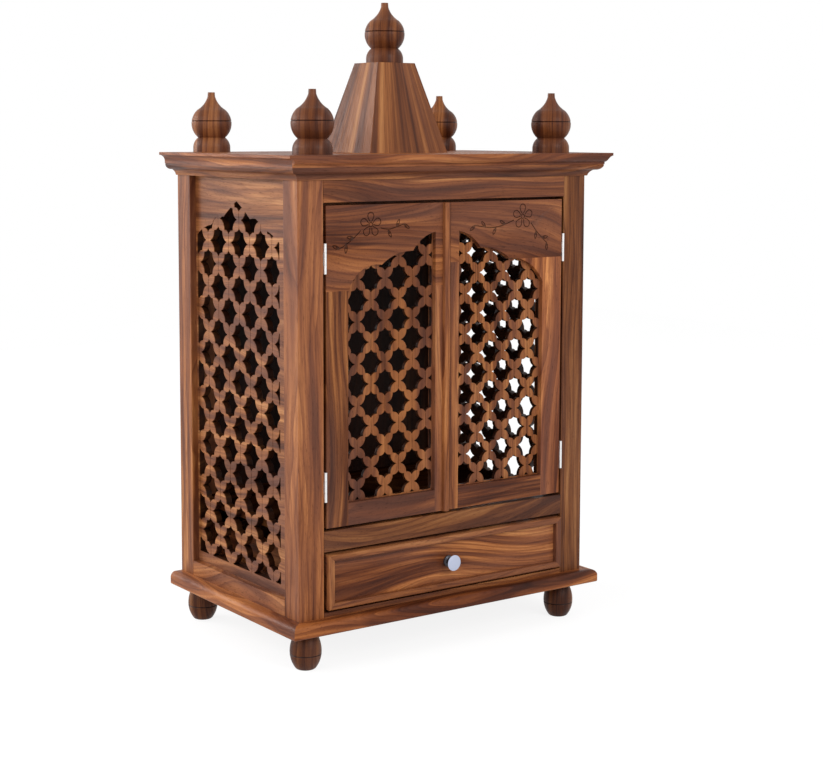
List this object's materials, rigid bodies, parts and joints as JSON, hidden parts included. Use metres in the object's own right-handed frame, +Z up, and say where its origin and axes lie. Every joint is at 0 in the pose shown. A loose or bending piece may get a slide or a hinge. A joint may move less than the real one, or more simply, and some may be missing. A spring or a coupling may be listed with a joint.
{
  "type": "pooja mandir",
  "caption": "Wooden home temple cabinet with two star-jaali doors under a cusped arch, pierced sides, a drawer, ball feet, a tapering shikhara and turned onion finials.",
  "frame": {"origin": "on the floor, under the middle of the moulded top", "axes": "+X to the viewer's right when facing the doors, +Y to the back, +Z up"},
  "size_m": [0.682, 0.448, 1.123],
  "materials": {
    "sheesham_wood": "satin clear lacquer over strongly striped sheesham",
    "hinge_metal": "plain bright steel butt hinges",
    "knob_metal": "polished nickel-plated knob"
  },
  "bodies": {
    "cabinet": {"foot_front_left": "sheesham_wood", "foot_front_right": "sheesham_wood", "foot_rear_left": "sheesham_wood", "foot_rear_right": "sheesham_wood", "base_plate": "sheesham_wood", "post_front_left": "sheesham_wood", "post_front_right": "sheesham_wood", "post_rear_left": "sheesham_wood", "post_rear_right": "sheesham_wood", "side_jaali_left": "sheesham_wood", "side_jaali_right": "sheesham_wood", "side_rail_left": "sheesham_wood", "side_rail_right": "sheesham_wood", "back_panel": "sheesham_wood", "shrine_floor": "sheesham_wood", "front_bottom_rail": "sheesham_wood", "front_middle_rail": "sheesham_wood", "front_top_rail": "sheesham_wood", "top_board": "sheesham_wood", "cove_front": "sheesham_wood", "cove_left": "sheesham_wood", "cove_right": "sheesham_wood", "drawer_runner_left": "sheesham_wood", "drawer_runner_right": "sheesham_wood", "left_post_hinge_leaves": "hinge_metal", "right_post_hinge_leaves": "hinge_metal", "shikhara": "sheesham_wood", "shikhara_finial": "sheesham_wood", "finial_front_left": "sheesham_wood", "finial_front_right": "sheesham_wood", "finial_rear_left": "sheesham_wood", "finial_rear_right": "sheesham_wood"},
    "left_door": {"left_door_hinge_stile": "sheesham_wood", "left_door_meeting_stile": "sheesham_wood", "left_door_top_board": "sheesham_wood", "left_door_bottom_rail": "sheesham_wood", "left_door_jaali": "sheesham_wood", "left_door_hinge_leaves": "hinge_metal", "left_door_bead": "sheesham_wood"},
    "right_door": {"right_door_hinge_stile": "sheesham_wood", "right_door_meeting_stile": "sheesham_wood", "right_door_top_board": "sheesham_wood", "right_door_bottom_rail": "sheesham_wood", "right_door_jaali": "sheesham_wood", "right_door_hinge_leaves": "hinge_metal"},
    "drawer": {"drawer_front": "sheesham_wood", "drawer_front_frame": "sheesham_wood", "drawer_side_left": "sheesham_wood", "drawer_side_right": "sheesham_wood", "drawer_back": "sheesham_wood", "drawer_bottom": "sheesham_wood", "drawer_knob": "knob_metal"}
  },
  "joints": [
    {"name": "left_door_hinge", "type": "hinge", "parent": "cabinet", "child": "left_door", "pos_m": [-0.2535, -0.1896, 0.4345], "axis": [0, 0, -1], "range_deg": [0, 110]},
    {"name": "right_door_hinge", "type": "hinge", "parent": "cabinet", "child": "right_door", "pos_m": [0.2535, -0.1896, 0.4345], "axis": [0, 0, 1], "range_deg": [0, 110]},
    {"name": "drawer_slide", "type": "slide", "parent": "cabinet", "child": "drawer", "axis": [0, -1, 0], "range_m": [0, 0.27]}
  ]
}
